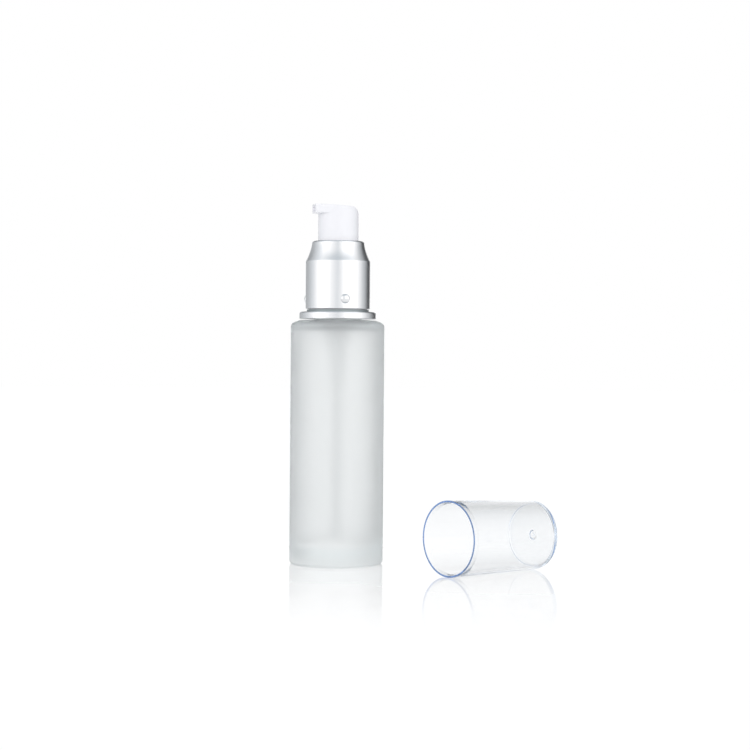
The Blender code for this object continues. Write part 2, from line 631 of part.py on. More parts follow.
def actuator_head(surface):
    """Skirt, stem socket and nozzle in one moulding; heights run from the skirt's lower edge."""
    tip, tangent, angles = head_angles()
    nozzle_under = SHELL_TOP_Z + NOZZLE_RISE - HEAD_Z
    top_at_tip = nozzle_under + NOZZLE_HEIGHT
    slope = TOP_FALL / (NOZZLE_REACH + HEAD_RADIUS)
    ceiling = top_at_tip - TOP_FALL - BACK_CHAMFER_DROP - TOP_THICKNESS
    turret_top = LOCK_RING_Z + LOCK_FLANGE_THICKNESS + TURRET_HEIGHT
    boss_start = turret_top + STROKE + BOSS_CLEARANCE - HEAD_Z
    socket_radius = STEM_RADIUS + GAP
    socket_top = STEM_Z + STEM_LENGTH + GAP - HEAD_Z
    outlet_z = nozzle_under + NOZZLE_HEIGHT / 2
    bore_top = outlet_z + OUTLET_RADIUS / 2

    def ring(radius, height):
        return [(radius * math.cos(a), radius * math.sin(a), height) for a in angles]

    def plan_ring(height_at):
        points = []
        for a in angles:
            radius = plan_radius(a, tip, tangent)
            x = radius * math.cos(a)
            points.append((x, radius * math.sin(a), height_at(x)))
        return points

    rings = [ring(OUTLET_RADIUS, bore_top), ring(OUTLET_RADIUS, socket_top), ring(socket_radius, socket_top)]
    rings += [ring(socket_radius, boss_start), ring(BOSS_RADIUS, boss_start), ring(BOSS_RADIUS, ceiling)]
    rings += [ring(HEAD_RADIUS - HEAD_WALL, ceiling), ring(HEAD_RADIUS - HEAD_WALL, 0)]
    rings += [ring(HEAD_RADIUS, 0), ring(HEAD_RADIUS, nozzle_under)]
    rings += [plan_ring(lambda x: nozzle_under)]
    rings += [plan_ring(lambda x: top_at_tip - slope * (NOZZLE_REACH - x))]
    bm = bmesh.new()
    skinned(bm, rings)
    bmesh.ops.remove_doubles(bm, verts=bm.verts, dist=GAP / 1000)
    bmesh.ops.recalc_face_normals(bm, faces=bm.faces)
    edge_x = BACK_CHAMFER_RUN - HEAD_RADIUS
    edge_z = top_at_tip - slope * (NOZZLE_REACH - edge_x)
    cut = bmesh.ops.bisect_plane(
        bm,
        geom=bm.verts[:] + bm.edges[:] + bm.faces[:],
        plane_co=(edge_x, 0, edge_z),
        plane_no=(-BACK_CHAMFER_DROP, 0, BACK_CHAMFER_RUN),
        clear_outer=True,
    )
    bmesh.ops.contextual_create(bm, geom=[e for e in cut["geom_cut"] if isinstance(e, bmesh.types.BMEdge)])
    bmesh.ops.rotate(bm, cent=(0, 0, 0), matrix=Matrix.Rotation(NOZZLE_AZIMUTH, 3, "Z"), verts=bm.verts)
    head = finish(bm, "actuator_head", surface, (0, 0, HEAD_Z))

    along = Matrix.Rotation(NOZZLE_AZIMUTH, 4, "Z") @ Matrix.Rotation(math.pi / 2, 4, "Y")
    outlet_length = NOZZLE_REACH - ORIFICE_DEPTH / 2
    middle = Matrix.Translation((0, 0, HEAD_Z + outlet_z)) @ along @ Matrix.Translation((0, 0, outlet_length / 2))
    combine(head, "DIFFERENCE", cylinder("outlet_channel", OUTLET_RADIUS, outlet_length, NARROW_FACETS // 2, middle))
    combine(head, "DIFFERENCE", orifice(along, outlet_z))
    return head


def orifice(along, outlet_z):
    """The rounded rectangular mouth of the nozzle, as a cutter."""
    half_width = ORIFICE_WIDTH / 2 - ORIFICE_CORNER_RADIUS
    half_height = ORIFICE_HEIGHT / 2 - ORIFICE_CORNER_RADIUS
    outline = []
    for side_x, side_y, start in ((1, 1, 0), (-1, 1, 90), (-1, -1, 180), (1, -1, 270)):
        centre = (side_x * half_height, side_y * half_width)
        outline += arc(centre, ORIFICE_CORNER_RADIUS, ORIFICE_CORNER_RADIUS, start, start + 90, 3)
    back = NOZZLE_REACH - ORIFICE_DEPTH
    front = NOZZLE_REACH + OVERRUN
    bm = bmesh.new()
    skinned(bm, [[(x, y, z) for x, y in outline] for z in (back, front)])
    bm.transform(Matrix.Translation((0, 0, HEAD_Z + outlet_z)) @ along)
    return finish(bm, "orifice_mouth", None)


def overcap(surface):
    """Heights run from the mouth to the closed end; it is then laid down with its taper on the floor."""
    draft = math.atan2(CAP_MOUTH_RADIUS - CAP_END_RADIUS, CAP_LENGTH)

    def outer_radius(height):
        return CAP_MOUTH_RADIUS - height * math.tan(draft)

    floor = CAP_LENGTH - CAP_END_WALL
    edge_start = CAP_LENGTH - CAP_EDGE_RADIUS
    edge = (outer_radius(edge_start) - CAP_EDGE_RADIUS, edge_start)
    dimple_floor = CAP_LENGTH - CAP_DIMPLE_DEPTH
    profile = [(CAP_MOUTH_RADIUS - CAP_RIM_WALL, 0), (CAP_MOUTH_RADIUS, 0)]
    profile += arc(edge, CAP_EDGE_RADIUS, CAP_EDGE_RADIUS, 0, 90, 4)
    profile += [(CAP_DIMPLE_RADIUS, CAP_LENGTH), (CAP_DIMPLE_RADIUS, dimple_floor), (0, dimple_floor)]
    inner_edge = floor - CAP_EDGE_RADIUS
    inner = (outer_radius(inner_edge) - CAP_WALL - CAP_EDGE_RADIUS, inner_edge)
    profile += [(0, floor)]
    profile += arc(inner, CAP_EDGE_RADIUS, CAP_EDGE_RADIUS, 90, 0, 3)
    profile += [(outer_radius(CAP_RIM_DEPTH) - CAP_WALL, CAP_RIM_DEPTH)]
    profile += [(outer_radius(CAP_RIM_DEPTH) - CAP_RIM_WALL, CAP_RIM_DEPTH)]
    cap = turned("overcap", profile, WIDE_FACETS, surface)
    cap.rotation_euler = (0, math.pi / 2 + draft, 0)
    cap.location = (CAP_MOUTH_X, CAP_AXIS_Y, CAP_MOUTH_RADIUS * math.cos(draft))
    return cap


def build():
    clear_scene()
    frosted = material("frosted_glass", (0.80, 0.84, 0.84), 0.55, transmission=0.8, ior=1.52)
    satin = material("satin_aluminium", (0.78, 0.79, 0.81), 0.32, metallic=1.0)
    white = material("white_polypropylene", (0.93, 0.94, 0.96), 0.30)
    natural = material("natural_polypropylene", (0.86, 0.87, 0.86), 0.42, transmission=0.3)
    soft = material("white_polyethylene", (0.90, 0.90, 0.88), 0.55)
    foam = material("gasket_foam", (0.88, 0.88, 0.86), 0.80)
    steel = material("stainless_steel", (0.62, 0.62, 0.63), 0.25, metallic=1.0)
    clear = material("clear_styrene", (0.96, 0.97, 1.0), 0.04, transmission=1.0, ior=1.57)

    bottle = glass_bottle(frosted)
    pump = group("pump_on_neck", (0, 0, MOUTH_Z))
    collar = group("closure_axis", (0, 0, SHOULDER_HEIGHT))
    plunger = group("plunger_axis", (0, 0, SOCKET_FLOOR_Z))
    head_axis = group("head_axis", (0, 0, HEAD_Z))
    cap_place = group("overcap_place", (0, CAP_AXIS_Y, 0))
    carry(bottle, pump)
    carry(pump, collar, neck_gasket(foam), pump_housing(natural), dip_tube(natural), lock_ring(white))
    carry(pump, spring_seat(natural), return_spring(steel), inlet_ball(steel), piston(soft), plunger)
    carry(collar, screw_closure(white), collar_shell(satin), base_ring(satin))
    carry(plunger, stem(white), piston_shaft(white), head_axis)
    carry(head_axis, actuator_head(white))
    carry(cap_place, overcap(clear))
    carry(bottle, cap_place)


build()
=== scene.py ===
import math

import bmesh
import bpy
from mathutils import Matrix, Vector


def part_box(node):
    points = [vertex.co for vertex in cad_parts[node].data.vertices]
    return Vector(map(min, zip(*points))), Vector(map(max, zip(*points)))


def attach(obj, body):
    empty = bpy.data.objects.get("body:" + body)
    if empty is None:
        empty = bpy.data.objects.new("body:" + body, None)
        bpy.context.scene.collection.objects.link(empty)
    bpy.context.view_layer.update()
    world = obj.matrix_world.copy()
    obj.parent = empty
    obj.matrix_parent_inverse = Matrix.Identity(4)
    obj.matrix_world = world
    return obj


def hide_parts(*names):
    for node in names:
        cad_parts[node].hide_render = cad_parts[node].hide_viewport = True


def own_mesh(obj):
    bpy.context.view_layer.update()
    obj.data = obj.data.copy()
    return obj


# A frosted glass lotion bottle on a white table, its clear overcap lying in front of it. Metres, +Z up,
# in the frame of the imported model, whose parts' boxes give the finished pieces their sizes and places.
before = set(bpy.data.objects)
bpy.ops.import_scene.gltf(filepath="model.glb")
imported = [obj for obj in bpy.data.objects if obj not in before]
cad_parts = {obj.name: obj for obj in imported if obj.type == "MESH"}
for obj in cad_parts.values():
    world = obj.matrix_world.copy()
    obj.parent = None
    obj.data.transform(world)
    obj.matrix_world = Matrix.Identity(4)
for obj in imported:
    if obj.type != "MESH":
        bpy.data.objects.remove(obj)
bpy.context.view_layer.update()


# Glass bottle: moulded flint glass with a thick base and a short threaded neck. The outside is etched in
# acid after moulding, so the skin scatters light like fine sandpaper, while the inner wall stays clear.
glass_radius = 0.0175
glass_wall = 0.0028
glass_base = 0.0065
heel_radius = 0.0013
inner_heel_radius = 0.0045
shoulder_height = 0.0913
shoulder_fall = 0.0003
shoulder_thickness = 0.0034
shoulder_flat_radius = 0.0144
shoulder_slope_degrees = 20
wall_top = 0.08847
corner_radius = 0.0020
inner_corner_radius = 0.0012
neck_radius = 0.0086
neck_fillet = 0.0006
neck_bore_radius = 0.0064
lip_radius = 0.0004
mouth_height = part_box("glass_bottle")[1].z
thread_pitch = 0.003175
thread_turns = 1.5
thread_depth = 0.0012
thread_root = 0.0016
thread_crest = 0.0008
thread_sunk = 0.0004
thread_below_mouth = 0.0016
thread_fade_turns = 0.12
round_facets = 160
smooth_angle = math.radians(32)
weld = 1e-6


def rounding(centre, radius, start_degrees, end_degrees, steps=8, tall=None):
    """A round stretch of an outline, as (radius, height) points with both ends included. It is part of a
    circle, or of an oval where it is given another radius upwards."""
    rise = radius if tall is None else tall
    points = []
    for step in range(steps + 1):
        angle = math.radians(start_degrees + (end_degrees - start_degrees) * step / steps)
        points.append((centre[0] + radius * math.cos(angle), centre[1] + rise * math.sin(angle)))
    return points


def settle(piece):
    """Closes a piece's seams in edit mode, turns its faces outwards and puts its place in its mesh."""
    bpy.ops.mesh.select_all(action="SELECT")
    bpy.ops.mesh.remove_doubles(threshold=weld)
    bpy.ops.mesh.normals_make_consistent(inside=False)
    bpy.ops.object.mode_set(mode="OBJECT")
    bpy.ops.object.transform_apply(location=True, rotation=True, scale=True)
    return piece


def shade(piece, angle=smooth_angle):
    """Shades a finished piece smooth; its long and flat faces keep their own direction to the edge."""
    bpy.ops.object.select_all(action="DESELECT")
    piece.select_set(True)
    bpy.context.view_layer.objects.active = piece
    bpy.ops.object.shade_smooth_by_angle(angle=angle)
    modifier = piece.modifiers.new("even_normals", "WEIGHTED_NORMAL")
    modifier.keep_sharp = True
    modifier.weight = 100
    bpy.ops.object.modifier_apply(modifier=modifier.name)


def turned_wall(name, outline, facets=round_facets):
    """Draws a wall up from a ring: each point of the outline is one extrude, sized and lifted to place.
    An outline that comes back to its first point is a ring; any other is shut by a disc at both ends."""
    is_ring = outline[0] == outline[-1]
    radius, height = outline[0]
    bpy.ops.object.select_all(action="DESELECT")
    bpy.ops.mesh.primitive_circle_add(
        vertices=facets, radius=radius, fill_type="NOTHING" if is_ring else "NGON", location=(0, 0, height)
    )
    piece = bpy.context.object
    piece.name = piece.data.name = name
    bpy.ops.object.mode_set(mode="EDIT")
    bpy.ops.mesh.select_all(action="SELECT")
    for next_radius, next_height in outline[1:]:
        lift = (0, 0, next_height - height)
        grow = next_radius / radius
        bpy.ops.mesh.extrude_region_move(TRANSFORM_OT_translate={"value": lift})
        bpy.ops.transform.resize(value=(grow, grow, 1), center_override=(0, 0, 0))
        radius, height = next_radius, next_height
    return settle(piece)


def start_rings(name, points):
    """A many-sided face with a corner at each point. A corner keeps its number as it is extruded."""
    bpy.ops.object.select_all(action="DESELECT")
    bpy.ops.mesh.primitive_circle_add(vertices=len(points), fill_type="NGON")
    piece = bpy.context.object
    piece.name = piece.data.name = name
    piece.data.attributes.new("corner_number", "INT", "POINT")
    for number, vertex in enumerate(piece.data.vertices):
        piece.data.attributes["corner_number"].data[number].value = number
        vertex.co = points[number]
    bpy.ops.object.mode_set(mode="EDIT")
    bpy.ops.mesh.select_all(action="SELECT")
    return piece


def next_ring(piece, points):
    """Extrudes the selected face and moves each of its corners to the new point of its number."""
    bpy.ops.mesh.extrude_region_move(TRANSFORM_OT_translate={"value": (0, 0, 0)})
    mesh = bmesh.from_edit_mesh(piece.data)
    number = mesh.verts.layers.int["corner_number"]
    for vertex in mesh.verts:
        if vertex.select:
            vertex.co = points[vertex[number]]
    bmesh.update_edit_mesh(piece.data)


def join_on(piece, other, operation="UNION"):
    """Joins or cuts one closed shape with another, which is then thrown away."""
    modifier = piece.modifiers.new(other.name, "BOOLEAN")
    modifier.operation = operation
    modifier.solver = "EXACT"
    modifier.object = other
    bpy.context.view_layer.objects.active = piece
    bpy.ops.object.modifier_apply(modifier=modifier.name)
    bpy.data.objects.remove(other, do_unlink=True)


def new_finish(name, colour, roughness, **sockets):
    """A material whose Principled shader has these values, and the node tree that its grain goes into."""
    finish = bpy.data.materials.new(name)
    finish.use_nodes = True
    finish.diffuse_color = (*colour, 1)
    shader = finish.node_tree.nodes["Principled BSDF"]
    shader.inputs["Base Color"].default_value = (*colour, 1)
    shader.inputs["Roughness"].default_value = roughness
    for socket, value in sockets.items():
        shader.inputs[socket.replace("_", " ")].default_value = value
    return finish, finish.node_tree, shader


def feed(tree, value, socket):
    """Gives a socket its value, which is another node's output or a constant."""
    if isinstance(value, bpy.types.NodeSocket):
        tree.links.new(value, socket)
    else:
        socket.default_value = value


def spread_over(tree, value, start, end, low=0.0, high=1.0, soft=False):
    """Spreads a value that runs from start to end over low to high, evenly or with soft ends."""
    spread = tree.nodes.new("ShaderNodeMapRange")
    if soft:
        spread.interpolation_type = "SMOOTHSTEP"
    for name, number in (("From Min", start), ("From Max", end), ("To Min", low), ("To Max", high)):
        spread.inputs[name].default_value = number
    tree.links.new(value, spread.inputs["Value"])
    return spread.outputs["Result"]


def speckle(tree, cells_per_metre, low, high, stretch=(1, 1, 1), detail=3.0):
    """A soft random value from low to high over the piece, read at its own Object coordinates."""
    place = tree.nodes.new("ShaderNodeTexCoord")
    mapping = tree.nodes.new("ShaderNodeMapping")
    mapping.inputs["Scale"].default_value = stretch
    noise = tree.nodes.new("ShaderNodeTexNoise")
    noise.inputs["Scale"].default_value = cells_per_metre
    noise.inputs["Detail"].default_value = detail
    # Nearly all of the noise lies between these two of its values.
    noise_low, noise_high = 0.3, 0.7
    tree.links.new(place.outputs["Object"], mapping.inputs["Vector"])
    tree.links.new(mapping.outputs["Vector"], noise.inputs["Vector"])
    return spread_over(tree, noise.outputs["Fac"], noise_low, noise_high, low, high)


def relief(tree, shader, height, depth):
    """Raises the surface by a pattern, depth metres from its lowest to its highest value."""
    bump = tree.nodes.new("ShaderNodeBump")
    bump.inputs["Strength"].default_value = 1.0
    bump.inputs["Distance"].default_value = depth
    tree.links.new(height, bump.inputs["Height"])
    tree.links.new(bump.outputs["Normal"], shader.inputs["Normal"])


def tinted_through(tree, colour, density):
    """Lets the solid take a little colour out of light that goes far through it."""
    absorb = tree.nodes.new("ShaderNodeVolumeAbsorption")
    absorb.inputs["Color"].default_value = (*colour, 1)
    absorb.inputs["Density"].default_value = density
    tree.links.new(absorb.outputs["Volume"], tree.nodes["Material Output"].inputs["Volume"])


def mark_faces(piece, name, belongs):
    """Marks the faces of one part of a piece, so that one material can give that part its own finish or its
    own painted shade.
    """
    mark = piece.data.attributes.new(name, "FLOAT", "FACE")
    for face in piece.data.polygons:
        mark.data[face.index].value = float(belongs(face))


def marked(tree, name):
    """How far a face belongs to the marked part of its piece, 1 or 0, as kept with the mesh."""
    mark = tree.nodes.new("ShaderNodeAttribute")
    mark.attribute_name = name
    return mark.outputs["Fac"]


def blend(tree, share, first, second, kind="FLOAT"):
    """The first value where the share is 0 and the second where it is 1."""
    mix = tree.nodes.new("ShaderNodeMix")
    mix.data_type = kind
    tree.links.new(share, mix.inputs[0])
    first_slot, second_slot, result = (2, 3, 0) if kind == "FLOAT" else (6, 7, 2)
    feed(tree, first, mix.inputs[first_slot])
    feed(tree, second, mix.inputs[second_slot])
    return mix.outputs[result]


glass, tree, shader = new_finish("etched_glass", (0.995, 1.0, 1.0), 0.5, Transmission_Weight=0.9, IOR=1.52)
inside = marked(tree, "inner_wall")
skin_roughness = blend(tree, inside, speckle(tree, 900, 0.46, 0.54), speckle(tree, 140, 0.04, 0.09))
tree.links.new(skin_roughness, shader.inputs["Roughness"])
tree.links.new(blend(tree, inside, 0.86, 1.0), shader.inputs["Transmission Weight"])
skin_grain = blend(tree, inside, speckle(tree, 2600, 0, 0.2), speckle(tree, 90, 0, 1))
relief(tree, shader, skin_grain, depth=0.00002)
tinted_through(tree, (0.75, 0.88, 0.90), density=12)

inner_radius = glass_radius - glass_wall
glass_ceiling = shoulder_height - shoulder_thickness
neck_foot = (neck_radius + neck_fillet, shoulder_height + neck_fillet)
outer_lip = (neck_radius - lip_radius, mouth_height - lip_radius)
inner_lip = (neck_bore_radius + lip_radius, mouth_height - lip_radius)
bore_foot = (neck_bore_radius + neck_fillet, glass_ceiling + neck_fillet)
inner_corner = (inner_radius - inner_corner_radius, glass_ceiling - inner_corner_radius)
inner_heel = (inner_radius - inner_heel_radius, glass_base + inner_heel_radius)
outline = rounding((glass_radius - heel_radius, heel_radius), heel_radius, -90, 0)
outline += rounding((glass_radius - corner_radius, wall_top), corner_radius, 0, 90 - shoulder_slope_degrees)
outline += [(shoulder_flat_radius, shoulder_height - shoulder_fall)]
outline += rounding(neck_foot, neck_fillet, 270, 180, 5)
outline += rounding(outer_lip, lip_radius, 0, 90, 5)
outline += rounding(inner_lip, lip_radius, 90, 180, 5)
outline += rounding(bore_foot, neck_fillet, 180, 270, 5)
outline += rounding(inner_corner, inner_corner_radius, 90, 0)
outline += rounding(inner_heel, inner_heel_radius, 0, -90, 12)
bottle = turned_wall("bottle_glass", outline)


def thread_section(turns):
    """The thread's four corners after so many turns; it grows out of the neck and sinks back into it."""
    grown = min(1, turns / thread_fade_turns, (thread_turns - turns) / thread_fade_turns)
    crest = neck_radius + (thread_depth + thread_sunk / 2) * grown - thread_sunk / 2
    root = neck_radius - thread_sunk
    height = mouth_height - thread_below_mouth - thread_pitch * (thread_turns - turns)
    corners = [(root, -thread_root / 2), (crest, -thread_crest / 2)]
    corners += [(crest, thread_crest / 2), (root, thread_root / 2)]
    turned = Matrix.Rotation(2 * math.pi * turns, 3, "Z")
    return [turned @ Vector((radius, 0, height + rise)) for radius, rise in corners]


thread_steps = round(thread_turns * round_facets)
thread = start_rings("neck_thread", thread_section(0))
for step in range(1, thread_steps + 1):
    next_ring(thread, thread_section(thread_turns * step / thread_steps))
settle(thread)
join_on(bottle, thread)
shade(bottle)
bottle.data.materials.append(glass)


def is_inner_wall(face):
    """Whether a face lies in the neck's bore or in the cavity below it, which the acid doesn't reach."""
    out = math.hypot(face.center.x, face.center.y)
    is_bore = face.center.z > glass_ceiling and out < neck_bore_radius + lip_radius
    is_cavity = glass_base - weld < face.center.z < glass_ceiling + weld and out < inner_radius + weld
    return is_bore or is_cavity


mark_faces(bottle, "inner_wall", is_inner_wall)
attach(bottle, "bottle")
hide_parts("glass_bottle")


# Base ring: a spun aluminium ring with a rolled top corner, pressed over the closure's flange. Its
# narrow upstand carries the collar. The groove under the collar lies in shade, and that shade is painted
# into the upstand's darker metal colour.
ring_radius = 0.0144
ring_wall = 0.0004
ring_corner_radius = 0.0007
spigot_radius = 0.0116
spigot_height = 0.0008
ring_low, ring_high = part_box("base_ring")
ring_top = ring_high.z - spigot_height

satin_aluminium, tree, shader = new_finish("satin_anodised", (0.785, 0.79, 0.805), 0.22, Metallic=1.0)
tree.links.new(speckle(tree, 420, 0.20, 0.24), shader.inputs["Roughness"])
relief(tree, shader, speckle(tree, 3400, 0, 1, detail=1.0), depth=0.000001)

# Painted shade: the upstand's metal is coloured dark for the shaded groove under the collar; its roughness
# and spun grain are its real finish.
groove_painted_shade, tree, shader = new_finish("groove_painted_shade", (0.31, 0.345, 0.355), 0.45, Metallic=1.0)
tree.links.new(speckle(tree, 500, 0.38, 0.52), shader.inputs["Roughness"])
relief(tree, shader, speckle(tree, 2600, 0, 1, stretch=(1, 1, 12)), depth=0.000004)

ring_crown = (ring_radius - ring_corner_radius, ring_top - ring_corner_radius)
outline = [(ring_radius - ring_wall, ring_low.z), (ring_radius - ring_wall / 4, ring_low.z)]
outline += [(ring_radius, ring_low.z + ring_wall / 4)]
outline += rounding(ring_crown, ring_corner_radius, 0, 90)
outline += [(spigot_radius, ring_top), (spigot_radius, ring_high.z)]
outline += [(spigot_radius - ring_wall, ring_high.z), (spigot_radius - ring_wall, ring_top - ring_wall)]
outline += rounding(ring_crown, ring_corner_radius - ring_wall, 90, 0, 4)
outline += outline[:1]
ring = turned_wall("collar_foot_ring", outline)
shade(ring)
ring.data.materials.append(satin_aluminium)
ring.data.materials.append(groove_painted_shade)
# The upstand's faces take the darker metal with the painted shade of the groove.
for face in ring.data.polygons:
    out = math.hypot(face.center.x, face.center.y)
    face.material_index = int(face.center.z > ring_top - ring_wall and out < spigot_radius + weld)
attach(ring, "closure")
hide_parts("base_ring")


# Collar shell: one deep-drawn aluminium shell, satin anodised, pushed over the plastic closure. It has
# a straight skirt, a crease, a concave flare and a rolled rim, and three pressed nubs hold the overcap.
shell_low, shell_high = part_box("collar_shell")
shell_radius = 0.0121
shell_wall = 0.0006
crease_height = shell_low.z + 0.0178
crease_round = 0.0003
crease_draw = 0.06
flare_height = 0.0067
flare_drop = 0.00225
flare_power = 1.5
flare_steps = 14
rim_radius = 0.0008
shell_hole_radius = 0.0080
shell_edge = 0.00012
nub_count = 3
nub_radius = 0.00175
nub_proud = 0.00095
nub_height = shell_low.z + 0.0036
nub_azimuth = math.radians(244.4)
nub_facets = 48
shell_smooth_angle = math.radians(20)


def flare_line(inset):
    """The flare from just under the crease, a little rounded, up to the rim, inset from the outer face."""
    points = [(shell_radius - inset, crease_height - crease_round)]
    points += [(shell_radius - crease_round * crease_draw - inset, crease_height)]
    for step in range(1, flare_steps + 1):
        share = step / flare_steps
        radius = shell_radius - flare_drop * (1 - (1 - share) ** flare_power)
        points.append((radius - inset, crease_height + flare_height * share))
    return points


foot_inside = (shell_radius - shell_wall + shell_edge, shell_low.z + shell_edge)
foot_outside = (shell_radius - shell_edge, shell_low.z + shell_edge)
rim = (shell_radius - flare_drop - rim_radius, shell_high.z - rim_radius)
hole_edge = (shell_hole_radius + shell_edge, shell_high.z - shell_edge)
outline = rounding(foot_inside, shell_edge, 180, 270, 3)
outline += rounding(foot_outside, shell_edge, 270, 360, 3)
outline += flare_line(0)
outline += rounding(rim, rim_radius, 0, 90, 10)[1:]
outline += rounding(hole_edge, shell_edge, 90, 180, 3)
outline += [(shell_hole_radius, shell_high.z - shell_wall), (rim[0], shell_high.z - shell_wall)]
outline += list(reversed(flare_line(shell_wall)))
outline += outline[:1]
shell = turned_wall("collar_drawn_shell", outline)

for number in range(nub_count):
    azimuth = nub_azimuth + 2 * math.pi * number / nub_count
    place = (shell_radius * math.cos(azimuth), shell_radius * math.sin(azimuth), nub_height)
    bpy.ops.object.select_all(action="DESELECT")
    bpy.ops.mesh.primitive_uv_sphere_add(
        segments=nub_facets, ring_count=nub_facets // 2, radius=nub_radius, location=place
    )
    nub = bpy.context.object
    nub.name = f"nub_{number + 1}"
    nub.scale = (nub_proud / nub_radius, 1, 1)
    nub.rotation_euler = (0, 0, azimuth)
    bpy.ops.object.transform_apply(location=True, rotation=True, scale=True)
    join_on(shell, nub)
shade(shell, shell_smooth_angle)
shell.data.materials.clear()
shell.data.materials.append(satin_aluminium)
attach(shell, "closure")
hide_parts("collar_shell")


# Actuator head: one white polypropylene moulding, pushed onto the pump's stem. A round skirt slides in
# the collar's mouth; the nozzle tapers out of it to a small flat face with a rounded oblong mouth.
head_low, head_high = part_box("actuator_head")
head_radius = 0.0076
head_wall = 0.0009
nozzle_azimuth = math.radians(161.0)
nozzle_reach = 0.0097
nozzle_half_width = 0.00235
nozzle_height = 0.0035
nozzle_corner = 0.00045
nozzle_top = head_high.z
nozzle_under = nozzle_top - nozzle_height
top_fall = 0.0012
top_thickness = 0.0014
back_run = 0.0031
back_drop = 0.0026
back_crease = 0.00025
head_edge = 0.00035
skirt_edge = 0.0002
under_fillet = 0.0003
fillet_of_overhang = 0.4
edge_of_overhang = 0.5
boss_radius = 0.0032
boss_start = 0.1185
socket_radius = 0.0022
socket_top = 0.1263
outlet_radius = 0.0009
channel_radius = 0.0006
channel_height = nozzle_under + nozzle_height / 2
channel_facets = 32
mouth_width = 0.0021
mouth_tall = 0.0023
mouth_deep = 0.0007
mouth_corner = 0.00045
mouth_corner_facets = 6
tip_steps = 5
corner_steps = 6
side_steps = 12
back_steps = 56

white_plastic, tree, shader = new_finish("moulded_white", (0.976, 0.962, 0.988), 0.16, IOR=1.50)
tree.links.new(speckle(tree, 260, 0.13, 0.19), shader.inputs["Roughness"])
relief(tree, shader, speckle(tree, 1500, 0, 1, detail=2.0), depth=0.000003)

# The nozzle's sides run from its rounded tip corners to where they touch the round body. They face
# outwards at this angle to the nozzle's middle line.
tip_corner = Vector((nozzle_reach - nozzle_corner, nozzle_half_width - nozzle_corner))
side_angle = math.atan2(tip_corner.y, tip_corner.x)
side_angle += math.acos((head_radius - nozzle_corner) / tip_corner.length)
side_way = Vector((math.cos(side_angle), math.sin(side_angle)))


def head_plan(inset):
    """The head from above, set in all round: half its tip, a corner, a side and its back, then the rest."""
    tip = [Vector((nozzle_reach - inset, tip_corner.y * step / tip_steps)) for step in range(tip_steps)]
    side_degrees = math.degrees(side_angle)
    corner = rounding(tip_corner, nozzle_corner - inset, 0, side_degrees, corner_steps)
    side_start = tip_corner + side_way * (nozzle_corner - inset)
    side_end = side_way * (head_radius - inset)
    side = [side_start.lerp(side_end, step / side_steps) for step in range(1, side_steps)]
    back = rounding((0, 0), head_radius - inset, side_degrees, 180, back_steps)
    half = [Vector(point) for point in (*tip, *corner, *side, *back)]
    return half + [Vector((point.x, -point.y)) for point in reversed(half[1:-1])]


def top_height(x):
    """The head's top: it falls a little from the tip to the back, and steeply there, past a soft crease."""
    head_length = nozzle_reach + head_radius
    gentle = nozzle_top - top_fall * (nozzle_reach - x) / head_length
    crease = nozzle_top - top_fall * (head_length - back_run) / head_length
    steep = crease - (back_run - head_radius - x) * back_drop / back_run
    return min(gentle, steep) - max(back_crease - abs(gentle - steep), 0) ** 2 / (4 * back_crease)


def level_ring(radius, height):
    """A round ring with a corner for each corner of the head's plan."""
    return [(*(point.normalized() * radius), height) for point in plan]


def quarter_turn(steps):
    """The angles of a rounded edge, from 0 to a right angle."""
    return [math.pi / 2 * step / steps for step in range(steps + 1)]


plan = head_plan(0)
plan_in = head_plan(head_edge)
bore_top = channel_height + outlet_radius / 2
skirt_ceiling = nozzle_top - top_fall - back_drop - top_thickness
skirt_inner_radius = head_radius - head_wall
head = start_rings("head_moulding", level_ring(outlet_radius, bore_top))
for radius, height in (
    (outlet_radius, socket_top),
    (socket_radius, socket_top),
    (socket_radius, boss_start),
    (boss_radius, boss_start),
    (boss_radius, skirt_ceiling),
    (skirt_inner_radius, skirt_ceiling),
    (skirt_inner_radius, head_low.z + skirt_edge / 2),
    (skirt_inner_radius + skirt_edge / 2, head_low.z),
    (head_radius - skirt_edge, head_low.z),
    (head_radius, head_low.z + skirt_edge),
):
    next_ring(head, level_ring(radius, height))
# Under the nozzle the wall turns out with a small fillet and up again with a rounded edge. Both die out
# where the nozzle's side runs into the round body.
overhang = [point.length - head_radius for point in plan]
fillets = [min(under_fillet, hang * fillet_of_overhang) for hang in overhang]
edges = [min(head_edge, hang * edge_of_overhang) for hang in overhang]
for turn in quarter_turn(4):
    next_ring(head, [
        (*(point.normalized() * (head_radius + fillet * (1 - math.cos(turn)))),
         nozzle_under - fillet * (1 - math.sin(turn)))
        for point, fillet in zip(plan, fillets)
    ])
for turn in quarter_turn(5):
    next_ring(head, [
        (*outer.lerp(inner, edge / head_edge * (1 - math.sin(turn))),
         nozzle_under + edge * (1 - math.cos(turn)))
        for outer, inner, edge in zip(plan, plan_in, edges)
    ])
for turn in quarter_turn(6):
    ring_in = head_plan(head_edge * (1 - math.cos(turn)))
    next_ring(head, [
        (*point, top_height(point.x) - head_edge * (1 - math.sin(turn))) for point in ring_in
    ])
# The top is one wide face. It is divided across, corner to corner, so that it can bend at the crease.
mesh = bmesh.from_edit_mesh(head.data)
number = mesh.verts.layers.int["corner_number"]
top_corners = {vertex[number]: vertex for vertex in mesh.verts if vertex.select}
for corner in range(tip_steps + 1, len(plan) // 2):
    bmesh.ops.connect_verts(mesh, verts=[top_corners[corner], top_corners[len(plan) - corner]])
bmesh.update_edit_mesh(head.data)
head.rotation_euler = (0, 0, nozzle_azimuth)
settle(head)

